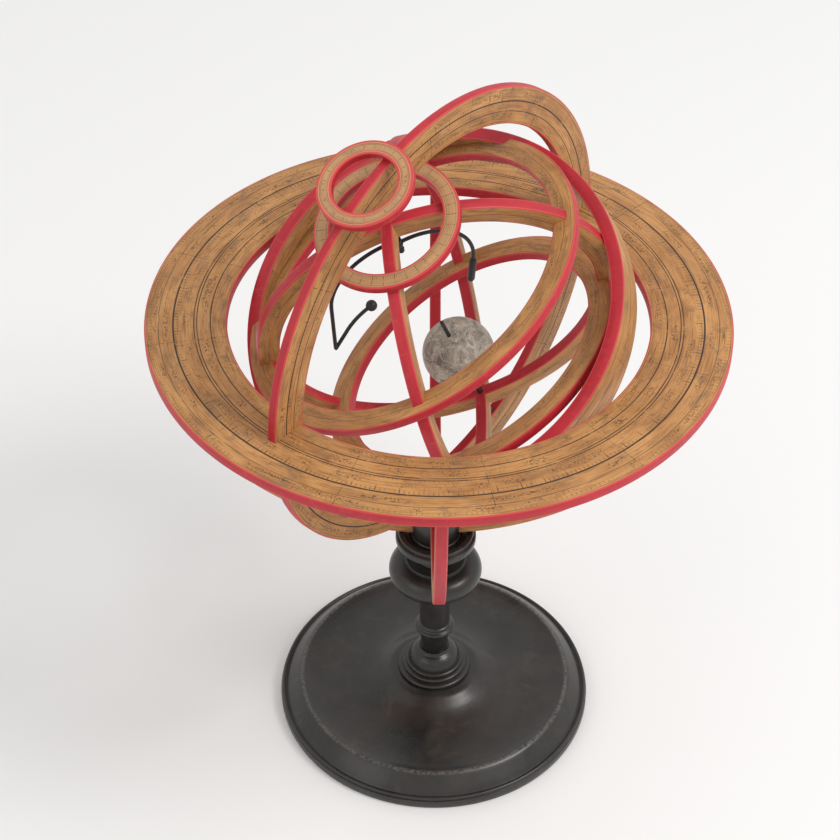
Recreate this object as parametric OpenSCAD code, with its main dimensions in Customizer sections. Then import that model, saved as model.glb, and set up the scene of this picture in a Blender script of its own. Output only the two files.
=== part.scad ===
// Armillary sphere on a turned stand, millimetres, Z up, origin under the middle of the foot.

/* [Stand] */
// radius of the foot disc
base_r = 90; // [70:0.5:110]
// height of the square rim of the foot disc
base_rim_h = 5.2; // [3:0.1:9]
// width of the sloping border of the foot, outside the dished top
base_slope = 12.8; // [8:0.1:20]
// radius of the thin lower stem
stem_r = 7.8; // [5:0.1:10]
// radius of the bead on the stem
bead_r = 11.3; // [9:0.1:15]
// largest radius of the round knop
knop_r = 26.2; // [20:0.1:34]
// largest radius of the collar under the cradle
collar_r = 22.4; // [18:0.1:28]
// radius of the head that carries the cradle
head_r = 13.3; // [11:0.1:17]

/* [Cradle and horizon] */
// height of the centre of the rings above the floor
centre_h = 284.5; // [270:0.5:300]
// outer radius of the front to back cradle arm
front_arm_r = 146.5; // [144:0.1:149.5]
// depth of the front to back cradle arm in its own plane
front_arm_w = 11; // [8:0.1:12.5]
// outer radius of the left to right cradle arm, which passes under the other
side_arm_r = 149.6; // [148:0.1:152]
// depth of the left to right cradle arm in its own plane
side_arm_w = 7; // [5:0.1:9]
// bearing of the cradle round the stand
cradle_turn = 1.1; // [-10:0.1:10]
// thickness of the cradle arms
arm_t = 6.2; // [4:0.1:8]
// outer radius of the horizon ring
horizon_r = 150; // [140:0.5:165]
// inner radius of the horizon ring
horizon_in_r = 108; // [107.2:0.1:115]
// thickness of the horizon ring
horizon_t = 5.8; // [4:0.1:8]

/* [Meridian] */
// outer radius of the meridian ring
meridian_r = 126.7; // [124:0.1:127]
// inner radius of the meridian ring
meridian_in_r = 106.5; // [104:0.1:107.5]
// thickness of the meridian ring
meridian_t = 5; // [3:0.1:7]
// bearing of the meridian plane round the stand
meridian_turn = 51.16; // [0:0.01:90]
// tilt of the polar axis from the vertical
pole_tilt = 26; // [0:0.5:60]
// gap on each side of every running fit
run_gap = 0.05; // [0.02:0.01:0.1]
// outer radius of the hour circle
hour_r = 23.8; // [20:0.1:30]
// inner radius of the hour circle
hour_in_r = 16.2; // [12:0.1:18.5]
// thickness of the hour circle
hour_t = 4.4; // [3:0.1:6]

/* [Sphere] */
// outer radius of the two colure rings
colure_r = 94.5; // [90:0.1:96]
// inner radius of the two colure rings
colure_in_r = 83; // [80:0.1:86]
// thickness of the colure rings
colure_t = 6; // [4:0.1:7.5]
// outer radius of the polar circle
polar_r = 36.5; // [32:0.1:40]
// inner radius of the polar circle
polar_in_r = 28.2; // [24:0.1:30]
// thickness of the polar circle
polar_t = 4.6; // [3:0.1:6]
// outer radius of the upper tropic ring
tropic_n_r = 93.9; // [91:0.1:94.5]
// inner radius of the upper tropic ring
tropic_n_in_r = 81.3; // [79:0.1:83]
// height of the upper tropic above the centre, along its own axis
tropic_n_s = 29.7; // [26:0.1:33]
// outer radius of the lower tropic ring
tropic_s_r = 83.5; // [82:0.1:86]
// inner radius of the lower tropic ring
tropic_s_in_r = 70.5; // [69:0.1:73]
// depth of the lower tropic below the centre, along its own axis
tropic_s_s = 31.4; // [28:0.1:34]
// thickness of the tropic rings
tropic_t = 5; // [3:0.1:6.5]
// outer radius of the zodiac band
band_r = 101; // [99:0.1:102]
// width of the zodiac band
band_w = 26; // [18:0.1:28]

/* [Axis, Earth, Sun and Moon] */
// radius of the polar pins
pin_r = 1.5; // [1:0.05:2]
// radius of the Earth ball
earth_r = 19; // [14:0.1:24]
// distance of the Earth below the centre along the polar axis
earth_s = 38.5; // [25:0.5:45]
// radius of the wire of the Sun and Moon arms
wire_r = 1; // [0.7:0.05:1.4]
// radius of the Moon ball
moon_r = 2.9; // [2:0.1:4]
// radius of the Sun weight
sun_r = 1.95; // [1.6:0.05:3]
// length of the Sun weight
sun_l = 17; // [12:0.5:22]

/* [View] */
// which sub-part to make

/* [Hidden] */
$fn = 96;
e = 0.01;
base_step_r = base_r - base_slope;
head_top = centre_h - meridian_r + 2.6;
colure_mid = (colure_r + colure_in_r) / 2;
band_in_r = colure_r - 0.4;
polar_lo = sqrt(pow(colure_r - 0.6, 2) - polar_in_r * polar_in_r);
hour_lo = sqrt(meridian_r * meridian_r - hour_in_r * hour_in_r) - 0.8;
front_a = 39.8;
side_a = 139.8;
sun_turn = 151.6;
wood = "BurlyWood";
edge = "Crimson";
black = "DimGray";

module at_centre() { translate([0, 0, centre_h]) children(); }
// local z is the polar axis, local y is square to the meridian plane
module polar() { at_centre() rotate([0, pole_tilt, meridian_turn + 180]) children(); }
module tropic_n() { at_centre() rotate([0, 30.2, 192]) translate([0, 0, tropic_n_s]) children(); }
module tropic_s() { at_centre() rotate([0, 30.6, 182]) translate([0, 0, -tropic_s_s]) children(); }
module zodiac() { at_centre() rotate([0, 34, 234]) children(); }

module hoop(ro, ri, t) {
    difference() {
        cylinder(h = t, r = ro, center = true);
        cylinder(h = t + 2, r = ri, center = true);
    }
}
// a flat ring standing in the plane that holds the local z axis
module standing(ro, ri, t, a) { rotate([0, 0, a]) rotate([90, 0, 0]) hoop(ro, ri, t); }
module slab(t, a, l, z0, z1) {
    rotate([0, 0, a]) translate([-l / 2, -t / 2, z0]) cube([l, t, z1 - z0]);
}

// radius in the dished top, from the hub at 0 to the border at 1
function dish(f) = 23 + f * (base_step_r - 26.4);

module foot_disc() {
    color(black) difference() {
        rotate_extrude() polygon([
            [0, 0], [base_r, 0], [base_r, base_rim_h],
            [base_r - 0.9, base_rim_h], [base_r - 0.3, base_rim_h + 1.2],
            [base_r - 1.1, base_rim_h + 2.4], [base_r - 2.4, base_rim_h + 2.4],
            [base_r - 3.2, base_rim_h + 1.6], [base_r - 4, base_rim_h + 2.8],
            [base_step_r + 4, 13], [base_step_r + 0.6, 15.6],
            [base_step_r - 1.2, 16.1], [base_step_r - 3.4, 15.2],
            [dish(0.807), 13.4], [dish(0.571), 13.2], [dish(0.413), 13.8], [dish(0.295), 15],
            [dish(0.197), 16.8], [dish(0.11), 19.2], [dish(0.051), 20.8], [dish(0), 21.4], [0, 21.4]]);
        translate([0, 0, 6]) cylinder(h = 20, r = 9);
    }
}

module foot_bell() {
    color(black) rotate_extrude() polygon([
        [0, 6], [9, 6], [9, 21.4], [20.2, 21.4], [20.9, 22], [21, 22.9], [20.4, 24.1], [18.9, 24.6],
        [18.6, 26.6], [16.8, 27], [16.5, 28.6], [15.2, 29],
        [14.6, 31.6], [13.4, 34.4], [11.4, 36.6], [9.4, 37.8], [8.6, 39.2], [0, 39.2]]);
}

module stem() {
    color(black) rotate_extrude() polygon([
        [0, 39.2], [stem_r, 39.2], [stem_r, 54.2],
        [bead_r - 0.8, 54.2], [bead_r, 55.2], [bead_r, 56.2], [bead_r - 0.9, 57.2],
        [bead_r - 1.2, 58], [bead_r - 1.9, 59], [stem_r + 0.8, 59.4],
        [stem_r + 0.8, 95.6], [0, 95.6]]);
}

module knop() {
    color(black) difference() {
        union() {
            translate([0, 0, 102]) rotate_extrude() translate([knop_r - 8, 0]) circle(r = 8);
            translate([0, 0, 94]) cylinder(h = 16, r = knop_r - 8);
            translate([0, 0, 109.8]) cylinder(h = 1.8, r = 17);
        }
        translate([0, 0, 90]) cylinder(h = 5.6, r = stem_r + 0.8);
        translate([0, 0, 105]) cylinder(h = 8, r = 6);
    }
}

module collar() {
    color(black) rotate_extrude() polygon([
        [0, 105], [6, 105], [6, 111.6], [10.4, 111.6], [9.6, 113.6], [10.6, 117.6],
        [14, 121], [19.4, 123.2], [collar_r - 0.6, 124.4], [collar_r, 126],
        [collar_r, 128.4], [collar_r - 0.7, 129.6], [collar_r - 1.6, 129.8],
        [collar_r - 1.8, 131.2], [collar_r - 3, 132.2], [collar_r - 4.6, 132],
        [collar_r - 5.2, 130.6], [14.4, 129.6], [14, 126], [0, 126]]);
}

module head() {
    color(black) difference() {
        union() {
            translate([0, 0, 126]) cylinder(h = head_top - 126, r = head_r);
            translate([0, 0, 126]) cylinder(h = 4.6, r = 13.9);
        }
        side_arm_shape();
        front_arm_shape();
        slab(arm_t, cradle_turn, 3 * head_r, centre_h - horizon_t / 2 - side_arm_r + side_arm_w / 2, head_top + 1);
        slab(arm_t, 90 + cradle_turn, 3 * head_r, centre_h - front_arm_r + front_arm_w / 2, head_top + 1);
        at_centre() rotate([0, 0, meridian_turn]) rotate([90, 0, 0])
            cylinder(h = meridian_t + 2 * run_gap, r = meridian_r + run_gap, center = true);
    }
}

// a half ring hung under the horizon ring, with its centre at height h
module arm_shape(a, r, w, h) {
    translate([0, 0, h]) rotate([0, 0, a + cradle_turn]) rotate([90, 0, 0]) difference() {
        hoop(r, r - w, arm_t);
        translate([-2 * r, centre_h - horizon_t / 2 - h, -arm_t]) cube([4 * r, 2 * r, 2 * arm_t]);
    }
}
module side_arm_shape() { arm_shape(0, side_arm_r, side_arm_w, centre_h - horizon_t / 2); }
module front_arm_shape() { arm_shape(90, front_arm_r, front_arm_w, centre_h); }

module cradle_arm_side() {
    color(wood) difference() {
        side_arm_shape();
        front_arm_shape();
    }
}
module cradle_arm_front() { color(edge) front_arm_shape(); }

module horizon_ring() {
    color(wood) at_centre() difference() {
        hoop(horizon_r, horizon_in_r, horizon_t);
        rotate([0, 0, meridian_turn]) rotate([90, 0, 0])
            cylinder(h = meridian_t + 2 * run_gap, r = meridian_r + run_gap, center = true);
    }
}

module meridian_ring() {
    color(wood) difference() {
        polar() standing(meridian_r, meridian_in_r, meridian_t, 0);
        polar() cylinder(h = 2 * meridian_r + 10, r = pin_r, center = true);
        hour_circle_shape();
    }
}

module hour_circle_shape() {
    polar() translate([0, 0, hour_lo + hour_t / 2]) hoop(hour_r, hour_in_r, hour_t);
}
module hour_circle() { color(wood) hour_circle_shape(); }

module north_pin() {
    color(black) polar() {
        translate([0, 0, 67]) cylinder(h = meridian_r - 0.5 - 67, r = pin_r);
        translate([0, 0, 68.4]) cylinder(h = 1.8, r = 1.9);
    }
}

module south_rod() {
    color(black) polar() {
        translate([0, 0, 0.5 - meridian_r]) cylinder(h = meridian_r - 76, r = pin_r);
        translate([0, 0, -76]) cylinder(h = 71, r = 1.05);
        translate([0, 0, -earth_s - earth_r - 1.2]) cylinder(h = 1.1, r = 1.9);
    }
}

module colure_bare(a) { polar() standing(colure_r, colure_in_r, colure_t, a); }
module pole_bore() { polar() cylinder(h = 400, r = pin_r + run_gap, center = true); }

module tropic_upper_shape() { tropic_n() hoop(tropic_n_r, tropic_n_in_r, tropic_t); }
module tropic_lower_shape() { tropic_s() hoop(tropic_s_r, tropic_s_in_r, tropic_t); }
module band_shape() { zodiac() hoop(band_r, band_in_r, band_w); }

module colure_front() {
    color(edge) difference() {
        colure_bare(front_a);
        // half lap: the inner half goes at both poles
        polar() for (s = [0, 180]) rotate([s, 0, 0])
            slab(colure_t, s == 0 ? side_a : -side_a, 16, colure_in_r - 2, colure_mid);
        pole_bore();
        tropic_upper_shape();
    }
}

module colure_side() {
    color(wood) difference() {
        colure_bare(side_a);
        polar() for (s = [0, 180]) rotate([s, 0, 0])
            slab(colure_t, s == 0 ? front_a : -front_a, 16, colure_mid, colure_r + 2);
        pole_bore();
        tropic_upper_shape();
    }
}

module polar_circle() {
    color(wood) difference() {
        polar() translate([0, 0, polar_lo + polar_t / 2]) hoop(polar_r, polar_in_r, polar_t);
        colure_bare(front_a);
        colure_bare(side_a);
    }
}

module tropic_upper() {
    color(wood) difference() {
        tropic_upper_shape();
        band_shape();
    }
}

module tropic_lower() {
    color(wood) difference() {
        tropic_lower_shape();
        colure_bare(front_a);
        colure_bare(side_a);
    }
}

module zodiac_band() {
    color(wood) difference() {
        band_shape();
        colure_bare(front_a);
        colure_bare(side_a);
    }
}

module earth_ball() {
    color("Gray") polar() translate([0, 0, -earth_s]) difference() {
        rotate_extrude() intersection() {
            circle(r = earth_r, $fn = 120);
            translate([0, -earth_r]) square([earth_r, 2 * earth_r]);
        }
        cylinder(h = 3 * earth_r, r = 1.05 + run_gap, center = true);
    }
}

// wire along an arc in the local x-z plane about [cx, 0, cz], angles from the axis
module wire_arc(rad, cx, cz, a0, a1) {
    translate([cx, 0, cz]) rotate([90, 0, 0]) rotate([0, 0, 90 - a1])
        rotate_extrude(angle = a1 - a0) translate([rad, 0]) circle(r = wire_r, $fn = 48);
}
module wire_line(x0, z0, x1, z1) {
    l = sqrt((x1 - x0) * (x1 - x0) + (z1 - z0) * (z1 - z0));
    translate([x0, 0, z0]) rotate([0, atan2(x1 - x0, z1 - z0), 0]) cylinder(h = l, r = wire_r, $fn = 48);
}
module eyelet(z0) {
    translate([0, 0, z0]) difference() {
        cylinder(h = 2.2, r = 2.6);
        translate([0, 0, -1]) cylinder(h = 5, r = pin_r + run_gap);
    }
}

module sun_side() { polar() rotate([0, 0, sun_turn]) children(); }
module sun_arm() {
    color(black) sun_side() {
        eyelet(73.2);
        wire_arc(31.5, 0, 42.8, 4.6, 111);
    }
}
module sun_weight() {
    color(black) sun_side() translate([31.5 * sin(111), 0, 42.8 + 31.5 * cos(111)]) rotate([0, 90 + 111, 0])
        rotate_extrude() polygon([[0, 0], [wire_r + 0.2, 0], [sun_r - 0.3, 1], [sun_r, 2.2],
            [sun_r, sun_l - 1.6], [sun_r - 0.5, sun_l - 0.4], [sun_r - 1.2, sun_l], [0, sun_l]]);
}

module moon_side() { polar() rotate([0, 0, sun_turn + 180]) children(); }
module moon_arm() {
    color(black) difference() {
        moon_side() {
            eyelet(75.9);
            wire_arc(33.7, 11.6, 44.58, -16, 74.3);
            wire_line(44.04, 53.7, 53.1, 20.9);
            for (q = [[44.04, 53.7], [53.1, 20.9], [43.86, 29.54]])
                translate([q[0], 0, q[1]]) sphere(r = wire_r + 0.06, $fn = 48);
            wire_line(53.1, 20.9, 43.86, 29.54);
            wire_arc(35, 19.2, 4.7, 13, 44.8);
        }
        moon_ball_shape();
    }
}
module moon_ball_shape() { moon_side() translate([26.4, 0, 38.9]) sphere(r = moon_r); }
module moon_ball() { color(black) moon_ball_shape(); }

foot_disc();
foot_bell();
stem();
knop();
collar();
head();
cradle_arm_side();
cradle_arm_front();
horizon_ring();
meridian_ring();
hour_circle();
north_pin();
south_rod();
colure_front();
colure_side();
polar_circle();
tropic_upper();
tropic_lower();
zodiac_band();
earth_ball();
sun_arm();
sun_weight();
moon_arm();
moon_ball();
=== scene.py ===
"""Armillary sphere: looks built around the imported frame."""
import math

import bmesh
import bpy
from mathutils import Matrix, Vector


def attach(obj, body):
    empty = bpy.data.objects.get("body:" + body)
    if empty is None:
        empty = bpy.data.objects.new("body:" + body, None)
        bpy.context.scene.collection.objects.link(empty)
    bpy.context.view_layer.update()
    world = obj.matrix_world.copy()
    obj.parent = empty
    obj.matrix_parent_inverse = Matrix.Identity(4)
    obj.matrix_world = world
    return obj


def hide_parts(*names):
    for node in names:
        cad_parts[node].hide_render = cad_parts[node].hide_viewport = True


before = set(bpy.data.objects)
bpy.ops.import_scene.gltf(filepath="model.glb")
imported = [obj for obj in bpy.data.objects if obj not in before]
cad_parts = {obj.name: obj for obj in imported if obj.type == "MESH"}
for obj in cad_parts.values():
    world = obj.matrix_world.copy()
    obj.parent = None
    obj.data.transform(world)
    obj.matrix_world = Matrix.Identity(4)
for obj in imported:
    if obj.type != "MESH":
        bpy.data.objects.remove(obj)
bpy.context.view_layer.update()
MM = 0.001

# ---------------------------------------------------------------- frames
CENTRE = Vector((0, 0, 284.5))
POLE_TILT, MERIDIAN_TURN = 26.0, -128.84


def turned(tilt, turn, slide=0.0):
    """Frame of a ring: its axis leans by tilt towards the bearing turn, and slide
    goes along the axis. In millimetres."""
    m = Matrix.Rotation(math.radians(turn), 4, "Z") @ Matrix.Rotation(math.radians(tilt), 4, "Y")
    return Matrix.Translation(CENTRE) @ m @ Matrix.Translation((0, 0, slide))


def spun(turn):
    return Matrix.Rotation(math.radians(turn), 4, "Z")


POLAR = turned(POLE_TILT, MERIDIAN_TURN)
EDGEWISE = Matrix.Rotation(math.radians(90), 4, "X")


def upright(frame_matrix, turn):
    """A ring that stands on edge in a frame: its plane holds the frame's axis."""
    return frame_matrix @ spun(turn) @ EDGEWISE


EARTH = turned(POLE_TILT, MERIDIAN_TURN, -38.5)
FLAT = Matrix.Translation(CENTRE)
FLOOR = Matrix.Identity(4)

# ---------------------------------------------------------------- shader maths


class Value:
    """A number that changes over a surface."""

    def __init__(self, finish, socket):
        self.finish, self.socket = finish, socket

    def _math(self, operation, *others, first=None):
        inputs = [self] + list(others) if first is None else [first, self]
        return self.finish.node("ShaderNodeMath", {"operation": operation}, dict(enumerate(inputs)))

    def __add__(self, o): return self._math("ADD", o)
    __radd__ = __add__
    def __sub__(self, o): return self._math("SUBTRACT", o)
    def __rsub__(self, o): return self._math("SUBTRACT", first=o)
    def __mul__(self, o): return self._math("MULTIPLY", o)
    __rmul__ = __mul__
    def __truediv__(self, o): return self._math("DIVIDE", o)
    def __gt__(self, o): return self._math("GREATER_THAN", o)
    def __abs__(self): return self._math("ABSOLUTE")
    def root(self): return self._math("SQRT")
    def part(self): return self._math("FRACT")
    def least(self, o): return self._math("MINIMUM", o)
    def most(self, o): return self._math("MAXIMUM", o)
    def held(self): return self.least(1).most(0)

    def ramp(self, low, high):
        """0 at low, 1 at high, held outside."""
        return ((self - low) / (high - low)).held()

    def near(self, place, width, soft=0.12):
        """A line at place."""
        return 1 - (abs(self - place) - width / 2).ramp(0, soft)

    def between(self, low, high, soft=0.1):
        return (self - low).ramp(0, soft) * (1 - (self - high).ramp(-soft, 0))


class Finish:
    """A material and its nodes."""

    def __init__(self, name):
        self.material = bpy.data.materials.new(name)
        self.material.use_nodes = True
        self.tree = self.material.node_tree
        self.tree.nodes.clear()

    def node(self, kind, settings=None, sockets=None, output=0):
        n = self.tree.nodes.new(kind)
        for key, v in (settings or {}).items():
            if key == "stops":
                ramp = n.color_ramp
                while len(ramp.elements) < len(v):
                    ramp.elements.new(0.5)
                for element, (at, colour) in zip(ramp.elements, v):
                    element.position = at
                    element.color = (*colour, 1)
            else:
                setattr(n, key, v)
        for key, v in (sockets or {}).items():
            if isinstance(v, Value):
                self.tree.links.new(v.socket, n.inputs[key])
            else:
                n.inputs[key].default_value = v
        return Value(self, n.outputs[output])

    def place(self, matrix):
        """Object coordinates turned into a ring's own frame, in millimetres: x, y, z."""
        loc, rot, _ = matrix.decompose()
        at = self.node("ShaderNodeTexCoord", output=3)
        v = self.node("ShaderNodeMapping", {"vector_type": "TEXTURE"},
                      {"Vector": at, "Location": loc * MM, "Rotation": rot.to_euler("XYZ"), "Scale": (MM, MM, MM)})
        return [self.node("ShaderNodeSeparateXYZ", None, {0: v}, output=i) for i in range(3)]

    def vector(self, x, y, z):
        return self.node("ShaderNodeCombineXYZ", None, {0: x, 1: y, 2: z})

    def noise(self, vector, scale=1.0, detail=3.0, rough=0.55, skew=0.0):
        return self.node("ShaderNodeTexNoise", None, {"Vector": vector, "Scale": scale, "Detail": detail,
                                                      "Roughness": rough, "Distortion": skew})

    def mix(self, amount, a, b, how="MIX"):
        return self.node("ShaderNodeMix", {"data_type": "RGBA", "blend_type": how, "clamp_factor": True},
                         {0: amount, 6: a if isinstance(a, Value) else (*a, 1),
                          7: b if isinstance(b, Value) else (*b, 1)}, output=2)

    def surface(self, colour, rough, bump=None, strength=0.2, depth=0.2, metallic=0.0,
                specular=0.5, coat=0.0, coat_rough=0.2):
        sockets = {"Base Color": colour, "Roughness": rough, "Metallic": metallic, "Specular IOR Level": specular,
                   "Coat Weight": coat, "Coat Roughness": coat_rough}
        if bump is not None:
            sockets["Normal"] = self.node("ShaderNodeBump", None,
                                          {"Strength": strength, "Distance": depth * MM, "Height": bump})
        bsdf = self.node("ShaderNodeBsdfPrincipled", None, sockets)
        out = self.tree.nodes.new("ShaderNodeOutputMaterial")
        self.tree.links.new(bsdf.socket, out.inputs[0])
        return self.material


# ---------------------------------------------------------------- finishes
WOOD_LIGHT = (0.58, 0.29, 0.10)
WOOD_MID = (0.40, 0.182, 0.058)
WOOD_DARK = (0.16, 0.062, 0.02)
DUSK = (0.19, 0.108, 0.062)
INK = (0.035, 0.02, 0.012)
RED = (0.50, 0.02, 0.033)
# RED_LIGHT: a paler red for worn paint and the margins, and also for the painted highlight on the rim corners
RED_LIGHT = (0.66, 0.085, 0.08)
RED_DARK = (0.30, 0.012, 0.02)


def printed_board(name, matrix, inner, outer, half, lines=(), scales=(), words=(), radials=0, band=False,
                  margin=0.0, pale=0.0, seed=0.0):
    """Board with a printed face and red lacquered rims. The places of lines, scales and words
    are shares of the way in from the outer rim.
    lines: place, width, darkness. scales: from, to, count, width, darkness.
    words: from, to, size, darkness."""
    f = Finish(name)
    x, y, z = f.place(matrix)
    r = (x * x + y * y).root().most(0.01)
    turn = f.node("ShaderNodeMath", {"operation": "ARCTAN2"}, {0: y, 1: x})
    cx, cy = x / r, y / r
    mid = (inner + outer) / 2
    if band:
        across, wide = z + half, 2 * half
        face = (abs(r - mid) - (outer - inner) / 2 + 0.04) > 0
    else:
        across, wide = outer - r, outer - inner
        face = (abs(z) > half - 0.03)
    side = (z > 0) * 7.3 if not band else (r > mid) * 7.3

    def along(step, thick, extra=0.0):
        """Coordinates that run with the board: step is a feature's length, thick its width."""
        return f.vector(cx * (mid / step) + (seed + extra), cy * (mid / step) + side, across / thick)

    grain = f.noise(along(16, 0.55), 1, 5, 0.62, 0.3)
    fibre = f.noise(along(5, 0.16, 3), 1, 2, 0.6)
    cloud = f.noise(along(26, 9, 5), 1, 3, 0.55, 0.6)
    stain = f.noise(along(15, 7, 11), 1, 4, 0.6, 0.8)
    speck = f.noise(along(1.3, 0.9, 17), 1, 2, 0.6)

    wood = f.mix(cloud.ramp(0.34, 0.66), WOOD_MID, WOOD_LIGHT)
    wood = f.mix(grain.ramp(0.50, 0.70) * 0.78, wood, WOOD_DARK)
    wood = f.mix(grain.ramp(0.47, 0.30) * 0.35, wood, WOOD_LIGHT)
    wood = f.mix(fibre.ramp(0.55, 0.75) * 0.35, wood, WOOD_DARK)
    wood = f.mix(stain.ramp(0.54, 0.72) * 0.7, wood, DUSK)
    if pale:
        wood = f.mix(pale, wood, (0.56, 0.36, 0.20))
    wood = f.mix(speck.ramp(0.66, 0.74) * 0.55, wood, WOOD_DARK)

    ink = 0.0
    share = across / wide
    for at, width, dark in lines:
        worn = f.noise(along(9, 4, at * 40), 1, 2).ramp(0.26, 0.42)
        ink = share.near(at, width / wide, 0.10 / wide) * worn * dark + ink
    for low, high, count, width, dark in scales:
        pitch = turn * (count / (2 * math.pi))
        gap = abs(pitch.part() - 0.5) * (2 * math.pi * mid / count)
        worn = f.noise(along(7, 3, low * 60), 1, 2).ramp(0.36, 0.55)
        ink = (1 - (gap - width / 2).ramp(0, 0.12)) * share.between(low, high, 0.01) * worn * dark + ink
    for low, high, size, dark in words:
        mark = f.noise(along(size * 0.7, size * 0.5, low * 90), 1, 1, 0.5, 0.4).ramp(0.54, 0.58)
        gate = f.noise(along(size * 9, 30, low * 30 + 2), 1, 1, 0.5).ramp(0.47, 0.56)
        ink = mark * gate * share.between(low, high, 0.02) * dark + ink
    if radials:
        pitch = turn * (radials / (2 * math.pi)) + 0.13
        gap = abs(pitch.part() - 0.5) * (2 * math.pi * mid / radials)
        ink = (1 - (gap - 0.12).ramp(0, 0.15)) * f.noise(along(4, 3, 77), 1, 2).ramp(0.4, 0.55) * 0.5 + ink
    if isinstance(ink, Value):
        wood = f.mix((ink * 1.35).held(), wood, INK)

    wear = f.noise(along(4, 1.6, 23), 1, 4, 0.6)
    blot = f.noise(along(22, 8, 29), 1, 2, 0.5)
    red = f.mix(blot.ramp(0.35, 0.7) * 0.45, RED, RED_DARK)
    red = f.mix(wear.ramp(0.56, 0.75) * 0.35, red, RED_LIGHT)
    red = f.mix(speck.ramp(0.66, 0.75) * 0.5, red, RED_DARK)
    # painted highlight: the eased corners of the red rims get a paler red, as if they caught the light
    if band:
        chamfer_highlight = ((outer - inner) / 2 - abs(r - mid)).ramp(0.75, 0.55)
        edge = across.least(2 * half - across)
    else:
        chamfer_highlight = (half - abs(z)).ramp(0.75, 0.55)
        edge = (outer - r).least(r - inner)
    red = f.mix(chamfer_highlight * 0.6, red, RED_LIGHT)
    margin_line = 1 - (edge - (0.62 + margin)).ramp(0, 0.12)
    face_red = f.mix(wear.ramp(0.3, 0.7) * 0.5, RED_LIGHT, RED)
    wood = f.mix(margin_line, wood, face_red)
    if margin > 0.5:
        second = edge.near(0.62 + margin + 0.75, 0.32, 0.1)
        wood = f.mix(second * 0.8, wood, RED)
    colour = f.mix(face, red, wood)
    rough = 0.50 + grain * 0.16 + (1 - face) * -0.10
    bump = grain * 0.6 + fibre * 0.5 + wear * 0.4
    return f.surface(colour, rough, bump, 0.22, 0.25, coat=0.06, coat_rough=0.35, specular=0.4)


POINTINESS = 7
STEP_R = 77.3


def blackened_wood(name):
    f = Finish(name)
    x, y, z = f.place(FLOOR)
    r = (x * x + y * y).root()
    v = f.vector(x, y, z)
    cloud = f.noise(v, 0.035, 4, 0.6, 0.4)
    fine = f.noise(v, 0.5, 4, 0.65)
    rings = f.noise(f.vector(r / 0.9, z / 0.9, 0.0), 1, 3, 0.6)
    scuff = f.noise(f.vector(x / 9, y / 2.2, z / 2), 1, 4, 0.7, 0.5)
    colour = f.mix(cloud.ramp(0.35, 0.68), (0.010, 0.009, 0.0085), (0.027, 0.023, 0.020))
    brown = f.noise(v, 0.06, 5, 0.65, 0.8)
    colour = f.mix(brown.ramp(0.56, 0.75) * 0.6, colour, (0.062, 0.042, 0.031))
    colour = f.mix(rings.ramp(0.55, 0.8) * 0.25, colour, (0.015, 0.014, 0.013))
    edge = f.node("ShaderNodeNewGeometry", output=POINTINESS)
    worn = edge.ramp(0.53, 0.60) * fine.ramp(0.35, 0.65)
    colour = f.mix(worn * 0.5, colour, (0.20, 0.185, 0.17))
    colour = f.mix(scuff.ramp(0.64, 0.78) * 0.25, colour, (0.12, 0.105, 0.095))
    # painted highlight: a pale band along the step ridge at STEP_R, broken up by noise like worn paint
    step_highlight = (1 - abs(r - STEP_R).ramp(0.4, 1.6)) * fine.ramp(0.35, 0.6)
    colour = f.mix(step_highlight * 0.6, colour, (0.16, 0.15, 0.14))
    rough = 0.20 + fine * 0.16 + cloud.ramp(0.4, 0.7) * 0.12
    return f.surface(colour, rough, rings * 0.5 + fine * 0.7 + scuff * 0.4, 0.16, 0.3, coat=0.1)


def stone_ball(name):
    f = Finish(name)
    x, y, z = f.place(EARTH)
    v = f.vector(x, y, z)
    a = f.noise(v, 0.10, 6, 0.7, 1.2)
    b = f.noise(v, 0.33, 5, 0.7, 0.6)
    vein = f.noise(v, 0.085, 4, 0.6, 2.2)
    grit = f.noise(v, 1.4, 3, 0.7)
    colour = f.mix(a.ramp(0.36, 0.64), (0.13, 0.108, 0.084), (0.46, 0.405, 0.325))
    colour = f.mix(b.ramp(0.52, 0.72) * 0.6, colour, (0.095, 0.078, 0.062))
    colour = f.mix((1 - abs(vein - 0.5).ramp(0.0, 0.022)) * 0.75, colour, (0.64, 0.60, 0.54))
    colour = f.mix(grit.ramp(0.56, 0.7) * 0.35, colour, (0.60, 0.56, 0.50))
    return f.surface(colour, 0.42 + b * 0.22, b * 0.8 + grit * 0.5 + a * 0.5, 0.35, 0.3)


def black_wire(name):
    f = Finish(name)
    x, y, z = f.place(FLOOR)
    n = f.noise(f.vector(x, y, z), 0.9, 3, 0.6)
    colour = f.mix(n.ramp(0.35, 0.7), (0.012, 0.012, 0.012), (0.030, 0.028, 0.026))
    return f.surface(colour, 0.38 + n * 0.2, n, 0.1, 0.1, metallic=0.2)


# ---------------------------------------------------------------- geometry
SHARP = math.radians(31)


def to_object(name, bm):
    mesh = bpy.data.meshes.new(name)
    bm.to_mesh(mesh)
    bm.free()
    obj = bpy.data.objects.new(name, mesh)
    bpy.context.scene.collection.objects.link(obj)
    return obj


def crisp(mesh):
    """Smooth faces, with the true corners kept sharp."""
    bm = bmesh.new()
    bm.from_mesh(mesh)
    for face in bm.faces:
        face.smooth = True
    for e in bm.edges:
        e.smooth = not (len(e.link_faces) == 2 and e.calc_face_angle(0) > SHARP)
    bm.to_mesh(mesh)
    bm.free()


def loop_of(bm, points, closed):
    """Edges through points (r, z) in the x-z plane."""
    verts = [bm.verts.new((r, 0, z)) for r, z in points]
    pairs = list(zip(verts, verts[1:])) + ([(verts[-1], verts[0])] if closed else [])
    return verts + [bm.edges.new(p) for p in pairs]


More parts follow.
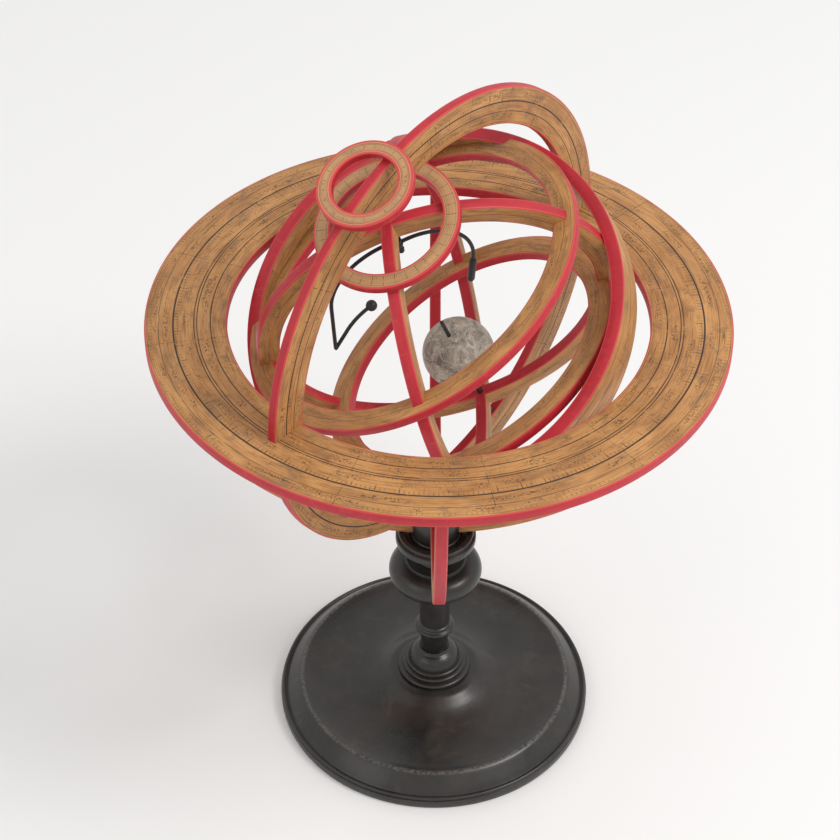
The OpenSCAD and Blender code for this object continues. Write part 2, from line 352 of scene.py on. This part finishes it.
def turned_shape(points, closed, steps):
    """A section spun round Z. An open section starts and ends on the axis."""
    bm = bmesh.new()
    geom = loop_of(bm, points, closed)
    bmesh.ops.spin(bm, geom=geom, cent=(0, 0, 0), axis=(0, 0, 1), angle=2 * math.pi, steps=steps, use_merge=True)
    bmesh.ops.remove_doubles(bm, verts=bm.verts, dist=1e-4)
    bmesh.ops.recalc_face_normals(bm, faces=bm.faces)
    return bm


def settle(bm, name, matrix, finish, body, node, cutters=(), more=()):
    bmesh.ops.transform(bm, matrix=Matrix.Scale(MM, 4) @ matrix, verts=bm.verts)
    obj = to_object(name, bm)
    for cut_bm, cut_matrix in cutters:
        bmesh.ops.transform(cut_bm, matrix=Matrix.Scale(MM, 4) @ cut_matrix, verts=cut_bm.verts)
        tool = to_object("cutter", cut_bm)
        mod = obj.modifiers.new("cut", "BOOLEAN")
        mod.operation, mod.solver, mod.object = "DIFFERENCE", "EXACT", tool
        bpy.context.view_layer.update()
        new = bpy.data.meshes.new_from_object(obj.evaluated_get(bpy.context.evaluated_depsgraph_get()))
        obj.modifiers.clear()
        obj.data = new
        bpy.data.objects.remove(tool)
    crisp(obj.data)
    obj.data.materials.clear()
    obj.data.materials.append(finish)
    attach(obj, body)
    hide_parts(node, *more)
    return obj


def board_section(inner, outer, half, soft=0.6):
    """Ring section with eased corners."""
    c, d = soft, soft * 0.3
    pts = []
    for (r, z), (sr, sz) in (((inner, -half), (1, 1)), ((outer, -half), (-1, 1)),
                             ((outer, half), (-1, -1)), ((inner, half), (1, -1))):
        a = [(r, z + sz * c), (r + sr * d * 0.9, z + sz * d * 0.9), (r + sr * c, z)]
        pts += a if (sr, sz) in ((1, 1), (-1, -1)) else a[::-1]
    return pts


def ring(inner, outer, half, steps=256, soft=0.6):
    return turned_shape(board_section(inner, outer, half, soft), True, steps)


def round_bar(radius, length, steps):
    half = length / 2
    return turned_shape([(0, -half), (radius, -half), (radius, half), (0, half)], False, steps)


def slab_cut(radius, thick):
    """A disc-shaped cutter."""
    return round_bar(radius, thick, 256)


def rod_cut(radius, length):
    return round_bar(radius, length, 32)


def block_cut(x, y, z):
    bm = bmesh.new()
    bmesh.ops.create_cube(bm, size=1)
    bmesh.ops.scale(bm, vec=(x, y, z), verts=bm.verts)
    return bm


def flow(points, n=6):
    """A smooth line through points."""
    out = []
    ext = [points[0]] + list(points) + [points[-1]]
    for a, b, c, d in zip(ext, ext[1:], ext[2:], ext[3:]):
        for i in range(n):
            t = i / n
            out.append(tuple(
                0.5 * (2 * b[k] + (c[k] - a[k]) * t + (2 * a[k] - 5 * b[k] + 4 * c[k] - d[k]) * t * t
                       + (3 * b[k] - a[k] - 3 * c[k] + d[k]) * t ** 3) for k in (0, 1)))
    return out + [points[-1]]


def bow(cx, cz, radius, start, end, n=12):
    """Points on an arc; angles in degrees from the outward direction towards up."""
    return [(cx + radius * math.cos(math.radians(start + (end - start) * i / n)),
             cz + radius * math.sin(math.radians(start + (end - start) * i / n))) for i in range(n + 1)]


# ---------------------------------------------------------------- sizes, in millimetres
HORIZON_IN, HORIZON_OUT, HORIZON_T = 108, 150, 5.8
MERIDIAN_IN, MERIDIAN_OUT, MERIDIAN_T = 106.5, 126.7, 5
GAP = 0.05
COLURE_IN, COLURE_OUT, COLURE_T = 83, 94.5, 6
FRONT_ARM_OUT, FRONT_ARM_W = 146.5, 11
SIDE_ARM_OUT, SIDE_ARM_W = 149.6, 7
ARM_T = 6.2
UNDERSIDE = CENTRE.z - HORIZON_T / 2
CRADLE = spun(1.1)
PIN_R, ROD_R, WIRE_R, BALL_R = 1.5, 1.05, 1.0, 2.9
HEAD_TOP = CENTRE.z - MERIDIAN_OUT + 2.6

# ---------------------------------------------------------------- stand
BLACK = blackened_wood("blackened_wood")


def turned_part(name, points, steps=160, cutters=(), soft=0.35):
    obj = settle(turned_shape(points, False, steps), name + "_turning", FLOOR, BLACK,
                 "stand", name, cutters)
    if soft:
        mod = obj.modifiers.new("eased", "BEVEL")
        mod.width, mod.segments = soft * MM, 2
        mod.limit_method, mod.angle_limit = "ANGLE", math.radians(32)
    return obj


turned_part("foot_disc", [(0, 0), (89, 0), (89.7, 0.3), (90, 1), (90, 4.5), (89.7, 5.1), (89.2, 5.3)]
            + bow(88.3, 6.4, 1.15, -60, 150, 10)
            + flow([(86.9, 6.9), (86.2, 7.6), (84.5, 9.6), (81.4, 12.8), (79.2, 15.0), (78.2, 15.7)], 5)
            + flow([(77.8, 15.9), (77.0, 16.1), (76.0, 16.0), (74.6, 15.5), (71, 14.4), (64, 13.4), (52, 13.2),
                    (44, 13.8), (38, 15), (33, 16.8), (28.6, 19.2), (25.6, 20.8), (23, 21.4)], 6)
            + [(9, 21.4), (9, 6), (0, 6)], 256, soft=0)
turned_part("foot_bell", [(0, 6), (9, 6), (9, 21.4), (20.1, 21.4)] + bow(19.5, 22.9, 1.5, -65, 80, 8)
            + [(19.0, 24.5)] + bow(17.2, 25.6, 1.2, -50, 80, 8)
            + [(16.8, 27.0)] + bow(15.2, 27.9, 1.1, -50, 70, 8)
            + flow([(15.2, 29.1), (14.9, 30.6), (14.2, 32.6), (13.0, 34.8), (11.2, 36.6), (9.4, 37.8),
                    (8.7, 39.2)], 5)
            + [(0, 39.2)], 128, soft=0.2)
turned_part("stem", [(0, 39.2), (7.8, 39.2), (7.8, 53.6), (8.6, 54.1)]
            + bow(9.8, 55.7, 1.5, -75, 80, 10) + [(9.7, 57.5), (9.4, 57.9)]
            + bow(8.6, 58.7, 0.9, -40, 75, 6) + [(8.6, 59.8), (8.6, 95.6), (0, 95.6)], 128, soft=0.15)
turned_part("knop", [(0, 95.6), (8.6, 95.6), (8.6, 94.02), (17.6, 94.0)]
            + bow(18.2, 102, 8, -88, 88, 30)
            + [(17.3, 110), (17.0, 110.3), (17.0, 111.2), (16.6, 111.6), (6, 111.6), (6, 105), (0, 105)],
            160, soft=0.2)
turned_part("collar", [(0, 105), (6, 105), (6, 111.6), (10.6, 111.6)]
            + flow([(10.3, 111.9), (9.7, 113.4), (9.8, 115.4), (10.8, 118), (13.6, 120.9),
                    (17.5, 122.7), (20.6, 123.6)], 5)
            + bow(20.9, 126.2, 1.5, -75, 0, 6) + [(22.4, 128.2)] + bow(21.4, 128.6, 1.0, 0, 80, 5)
            + [(21.1, 129.8)] + bow(19.9, 131.1, 1.1, -60, 90, 8) + bow(18.2, 131.0, 1.0, 80, 200, 6)
            + [(17.0, 130.0), (14.6, 129.7), (14.4, 129.3), (14, 126), (0, 126)], 160, soft=0.15)

MERIDIAN = upright(POLAR, 0)


def meridian_slot():
    return slab_cut(MERIDIAN_OUT + GAP, MERIDIAN_T + 2 * GAP), MERIDIAN


FRONT_ARM = FLAT @ CRADLE @ spun(90) @ EDGEWISE
SIDE_ARM = Matrix.Translation((0, 0, UNDERSIDE)) @ CRADLE @ EDGEWISE
ROOM, BLOCK = 0.01, 60


def arm_cut(outer, wide, room, matrix):
    return ring(outer - wide, outer, ARM_T / 2 + room, 256, 0.01), matrix


def front_arm_cut(room):
    return arm_cut(FRONT_ARM_OUT, FRONT_ARM_W, room, FRONT_ARM)


def side_arm_cut(room):
    return arm_cut(SIDE_ARM_OUT, SIDE_ARM_W, room, SIDE_ARM)


def slot_from(height):
    """Place of a block that opens a slot from height upwards."""
    return CRADLE @ Matrix.Translation((0, 0, height + BLOCK / 2))


arm_slot = [(block_cut(BLOCK, ARM_T + 2 * ROOM, BLOCK), slot_from(UNDERSIDE - SIDE_ARM_OUT + SIDE_ARM_W / 2)),
            (block_cut(ARM_T + 2 * ROOM, BLOCK, BLOCK), slot_from(CENTRE.z - FRONT_ARM_OUT + FRONT_ARM_W / 2)),
            side_arm_cut(ROOM), front_arm_cut(ROOM)]
turned_part("head", [(0, 126), (13.9, 126), (13.9, 130.2), (13.7, 130.6), (13.3, 130.9),
                     (13.3, HEAD_TOP - 0.5), (12.8, HEAD_TOP), (0, HEAD_TOP)],
            128, cutters=arm_slot + [meridian_slot()], soft=0)

# ---------------------------------------------------------------- cradle arms and horizon


def half_ring_cut():
    """Takes away what is above the horizon's underside."""
    bm = block_cut(400, 400, 200)
    return bm, Matrix.Translation((0, 0, CENTRE.z - HORIZON_T / 2 + 100))


for node, m, outer, wide, seed, cuts in (
        ("cradle_arm_side", SIDE_ARM, SIDE_ARM_OUT, SIDE_ARM_W, 3.1, [half_ring_cut(), front_arm_cut(0)]),
        ("cradle_arm_front", FRONT_ARM, FRONT_ARM_OUT, FRONT_ARM_W, 8.4, [half_ring_cut()])):
    arm = printed_board(node + "_board", m, outer - wide, outer, ARM_T / 2, lines=[(0.5, 0.3, 0.4)], seed=seed)
    settle(ring(outer - wide, outer, ARM_T / 2), node + "_piece", m, arm, "stand", node, cuts)

horizon = printed_board(
    "horizon_board", FLAT, HORIZON_IN, HORIZON_OUT, HORIZON_T / 2,
    lines=[(0.035, 0.25, 0.35), (0.17, 0.35, 0.5), (0.35, 0.75, 1.0), (0.60, 0.4, 0.8),
           (0.635, 0.4, 0.75), (0.80, 0.45, 0.8), (0.965, 0.25, 0.3)],
    scales=[(0.36, 0.42, 360, 0.25, 0.5), (0.565, 0.60, 360, 0.22, 0.4), (0.04, 0.09, 360, 0.25, 0.45),
            (0.36, 0.47, 72, 0.3, 0.5), (0.80, 0.86, 180, 0.25, 0.35)],
    words=[(0.09, 0.16, 1.5, 0.55), (0.21, 0.30, 1.9, 0.45), (0.45, 0.55, 1.4, 0.45),
           (0.66, 0.77, 1.8, 0.5), (0.86, 0.94, 1.6, 0.45)],
    radials=12, seed=1.7)
settle(ring(HORIZON_IN, HORIZON_OUT, HORIZON_T / 2, 320, 0.55), "horizon_ring_piece", FLAT, horizon,
       "stand", "horizon_ring", [meridian_slot()])

# ---------------------------------------------------------------- meridian, hour circle and pins
meridian = printed_board(
    "meridian_board", MERIDIAN, MERIDIAN_IN, MERIDIAN_OUT, MERIDIAN_T / 2,
    lines=[(0.10, 0.22, 0.35), (0.40, 0.6, 1.0), (0.66, 0.35, 0.7), (0.93, 0.2, 0.3)],
    scales=[(0.41, 0.50, 360, 0.22, 0.45), (0.28, 0.40, 72, 0.28, 0.5)],
    words=[(0.14, 0.30, 1.7, 0.45), (0.70, 0.86, 1.6, 0.4)], radials=24, seed=4.2)
settle(ring(MERIDIAN_IN, MERIDIAN_OUT, MERIDIAN_T / 2, 288), "meridian_ring_piece", MERIDIAN, meridian,
       "meridian", "meridian_ring")

HOUR_IN, HOUR_OUT, HOUR_HALF = 16.2, 23.8, 2.2
HOUR_LOW = math.sqrt(MERIDIAN_OUT ** 2 - HOUR_IN ** 2) - 0.8
HOUR = turned(POLE_TILT, MERIDIAN_TURN, HOUR_LOW + HOUR_HALF)
hour = printed_board("hour_board", HOUR, HOUR_IN, HOUR_OUT, HOUR_HALF,
                     lines=[(0.33, 0.18, 0.35), (0.66, 0.18, 0.3)], scales=[(0.36, 0.62, 24, 0.25, 0.4)],
                     words=[(0.38, 0.60, 1.2, 0.4)], margin=0.55, pale=0.45, seed=6.6)
settle(ring(HOUR_IN, HOUR_OUT, HOUR_HALF, 144, 0.5), "hour_circle_piece", HOUR, hour,
       "meridian", "hour_circle")

WIRE = black_wire("black_wire")
pin_top = MERIDIAN_OUT - 0.5
north = ([(0, 67), (1.2, 67), (PIN_R, 67.3), (PIN_R, 68.4)] + bow(1.2, 69.3, 0.7, -60, 60, 8)
         + [(PIN_R, 70.2), (PIN_R, pin_top), (0, pin_top)])
settle(turned_shape(north, False, 40), "north_pin_piece", POLAR, WIRE, "meridian", "north_pin")
south = ([(0, -pin_top), (PIN_R, -pin_top), (PIN_R, -75.9), (ROD_R, -75.5), (ROD_R, -56.3)]
         + bow(ROD_R, -55.65, 0.55, -70, 70, 6) + [(ROD_R, -55.0), (ROD_R, -5.4), (0.8, -5), (0, -5)])
settle(turned_shape(south, False, 40), "south_rod_piece", POLAR, WIRE, "meridian", "south_rod")

# ---------------------------------------------------------------- ring cage


def pole_bore():
    return rod_cut(PIN_R + GAP, 400), POLAR


for node, turn, seed, grow in (("colure_front", 39.8, 2.5, 0.0), ("colure_side", 139.8, 9.3, -0.03)):
    m = upright(POLAR, turn)
    board = printed_board(node + "_board", m, COLURE_IN, COLURE_OUT, COLURE_T / 2, lines=[(0.5, 0.22, 0.45)],
                          scales=[(0.5, 0.62, 180, 0.22, 0.3)], words=[(0.16, 0.42, 1.5, 0.3)], seed=seed)
    settle(ring(COLURE_IN - grow, COLURE_OUT + grow, COLURE_T / 2, 224), node + "_piece", m, board,
           "sphere", node, [pole_bore()])

CIRCLE_IN, CIRCLE_OUT, CIRCLE_HALF = 28.2, 36.5, 2.3
CIRCLE_LOW = math.sqrt((COLURE_OUT - 0.6) ** 2 - CIRCLE_IN ** 2)
CIRCLE = turned(POLE_TILT, MERIDIAN_TURN, CIRCLE_LOW + CIRCLE_HALF)
circle = printed_board("polar_circle_board", CIRCLE, CIRCLE_IN, CIRCLE_OUT, CIRCLE_HALF,
                       lines=[(0.22, 0.16, 0.3), (0.8, 0.16, 0.3)],
                       scales=[(0.2, 0.82, 36, 0.22, 0.5), (0.6, 0.82, 180, 0.16, 0.3)],
                       margin=0.35, pale=0.45, seed=5.4)
settle(ring(CIRCLE_IN, CIRCLE_OUT, CIRCLE_HALF, 176, 0.5), "polar_circle_piece", CIRCLE, circle,
       "sphere", "polar_circle")

TROPIC_HALF = 2.5
for node, m, inner, outer, seed in (("tropic_upper", turned(30.2, 192, 29.7), 81.3, 93.9, 7.7),
                                    ("tropic_lower", turned(30.6, 182, -31.4), 70.5, 83.5, 12.1)):
    board = printed_board(node + "_board", m, inner, outer, TROPIC_HALF, lines=[(0.5, 0.22, 0.4)],
                          scales=[(0.3, 0.5, 72, 0.25, 0.3)], words=[(0.55, 0.85, 1.5, 0.35)], seed=seed)
    settle(ring(inner, outer, TROPIC_HALF, 224), node + "_piece", m, board, "sphere", node)

ZODIAC = turned(34, 234)
ZODIAC_IN, ZODIAC_OUT, ZODIAC_HALF = 94.1, 101, 13
zodiac = printed_board("zodiac_board", ZODIAC, ZODIAC_IN, ZODIAC_OUT, ZODIAC_HALF,
                       lines=[(0.2, 0.22, 0.4), (0.5, 0.35, 0.7), (0.8, 0.22, 0.4)],
                       scales=[(0.2, 0.3, 360, 0.22, 0.35), (0.5, 0.56, 180, 0.22, 0.3)],
                       words=[(0.32, 0.46, 2.0, 0.45), (0.58, 0.76, 2.0, 0.4)], radials=12, band=True, seed=10.9)
settle(ring(ZODIAC_IN, ZODIAC_OUT, ZODIAC_HALF, 240), "zodiac_band_piece", ZODIAC, zodiac,
       "sphere", "zodiac_band")

# ---------------------------------------------------------------- Earth, Sun and Moon
EARTH_R, BORE = 19, 1.1
tip = math.degrees(math.asin(BORE / EARTH_R))
ball = turned_shape(bow(0, 0, EARTH_R, -90 + tip, 90 - tip, 72), True, 144)
settle(ball, "earth_ball_piece", EARTH, stone_ball("mottled_ball"), "earth", "earth_ball")


def wire(name, runs, turn, body, node, eyelet):
    """Bent wire through points (out, up) of the polar frame, with its eyelet on the pin."""
    curve = bpy.data.curves.new(name, "CURVE")
    curve.dimensions, curve.use_fill_caps = "3D", True
    curve.bevel_depth, curve.bevel_resolution = WIRE_R, 5
    spline = curve.splines.new("POLY")
    spline.points.add(len(runs) - 1)
    for p, (q, up) in zip(spline.points, runs):
        p.co = (q, 0, up, 1)
    obj = bpy.data.objects.new(name, curve)
    bpy.context.scene.collection.objects.link(obj)
    bpy.context.view_layer.update()
    bm = bmesh.new()
    bm.from_mesh(obj.to_mesh())
    obj.to_mesh_clear()
    bpy.data.objects.remove(obj)
    ring_bm = turned_shape(board_section(PIN_R + GAP, 2.6, 1.1, 0.3), True, 48)
    bmesh.ops.translate(ring_bm, vec=(0, 0, eyelet), verts=ring_bm.verts)
    mesh = bpy.data.meshes.new("eyelet")
    ring_bm.to_mesh(mesh)
    ring_bm.free()
    bm.from_mesh(mesh)
    settle(bm, name, POLAR @ spun(turn), WIRE, body, node)


def sweep(cx, cz, radius, start, end, n=24):
    """Arc in the wire's plane; angles from straight up towards outward."""
    angles = [math.radians(start + (end - start) * i / n) for i in range(n + 1)]
    return [(cx + radius * math.sin(a), cz + radius * math.cos(a)) for a in angles]


SUN_TURN, SUN_BOW, SUN_BOW_UP, SUN_DROP = 151.6, 31.5, 42.8, 111
wire("sun_arm_piece", sweep(0, SUN_BOW_UP, SUN_BOW, 4.6, SUN_DROP, 60), SUN_TURN, "sun", "sun_arm", 74.3)
weight = turned_shape([(0, 0), (1.2, 0), (1.65, 1), (1.95, 2.2), (1.95, 15.4), (1.45, 16.6), (0.75, 17), (0, 17)],
                      False, 40)
drop = math.radians(SUN_DROP)
wire_end = Matrix.Translation((SUN_BOW * math.sin(drop), 0, SUN_BOW_UP + SUN_BOW * math.cos(drop)))
settle(weight, "sun_weight_piece",
       POLAR @ spun(SUN_TURN) @ wire_end @ Matrix.Rotation(math.radians(90 + SUN_DROP), 4, "Y"),
       WIRE, "sun", "sun_weight")
MOON_TURN = SUN_TURN + 180
moon_path = (sweep(11.6, 44.58, 33.7, -16, 74.3, 30)
             + [(52.9, 21.6), (53.05, 20.95), (52.6, 21.3)] + sweep(19.2, 4.7, 35, 44.8, 13, 18))
wire("moon_arm_piece", moon_path, MOON_TURN, "moon", "moon_arm", 77.0)
bead = turned_shape(bow(0, 0, BALL_R, -90, 90, 24), False, 40)
settle(bead, "moon_ball_piece", POLAR @ spun(MOON_TURN) @ Matrix.Translation((26.4, 0, 38.9)),
       WIRE, "moon", "moon_ball")

# ---------------------------------------------------------------- studio
bm = bmesh.new()
bmesh.ops.create_grid(bm, x_segments=1, y_segments=1, size=6)
floor = to_object("floor", bm)
f = Finish("pale_floor")
floor.data.materials.append(f.surface((0.86, 0.86, 0.86, 1), 0.55, specular=0.3))

world = bpy.data.worlds.new("studio")
bpy.context.scene.world = world
world.use_nodes = True
world.node_tree.nodes["Background"].inputs[0].default_value = (1, 0.995, 0.985, 1)
world.node_tree.nodes["Background"].inputs[1].default_value = 0.80


def softbox(name, at, aim, size, power, colour=(1, 1, 1)):
    light = bpy.data.lights.new(name, "AREA")
    light.shape, light.size, light.energy, light.color = "DISK", size, power, colour
    obj = bpy.data.objects.new(name, light)
    bpy.context.scene.collection.objects.link(obj)
    obj.location = at
    obj.rotation_euler = (Vector(aim) - Vector(at)).to_track_quat("-Z", "Y").to_euler()


LOOK_AT = (0, 0, 0.2)
softbox("key", (1.3, -0.5, 1.9), LOOK_AT, 1.0, 23)
softbox("fill", (-1.4, -1.2, 1.2), LOOK_AT, 1.2, 3)

camera = bpy.data.cameras.new("camera")
camera.lens, camera.sensor_width, camera.clip_start = 99.94, 36, 0.05
eye = bpy.data.objects.new("camera", camera)
bpy.context.scene.collection.objects.link(eye)
height = math.radians(39.444)
EYE_DISTANCE = 1193.6
eye.location = (CENTRE + EYE_DISTANCE * Vector((0, -math.cos(height), math.sin(height)))) * MM
down, yaw, roll = math.radians(41.971), math.radians(0.575), math.radians(0.41)
eye.rotation_euler = (Matrix.Rotation(yaw, 3, "Z") @ Matrix.Rotation(math.pi / 2 - down, 3, "X")
                      @ Matrix.Rotation(roll, 3, "Z")).to_euler()
bpy.context.scene.camera = eye

bpy.context.scene.view_settings.view_transform = "Standard"
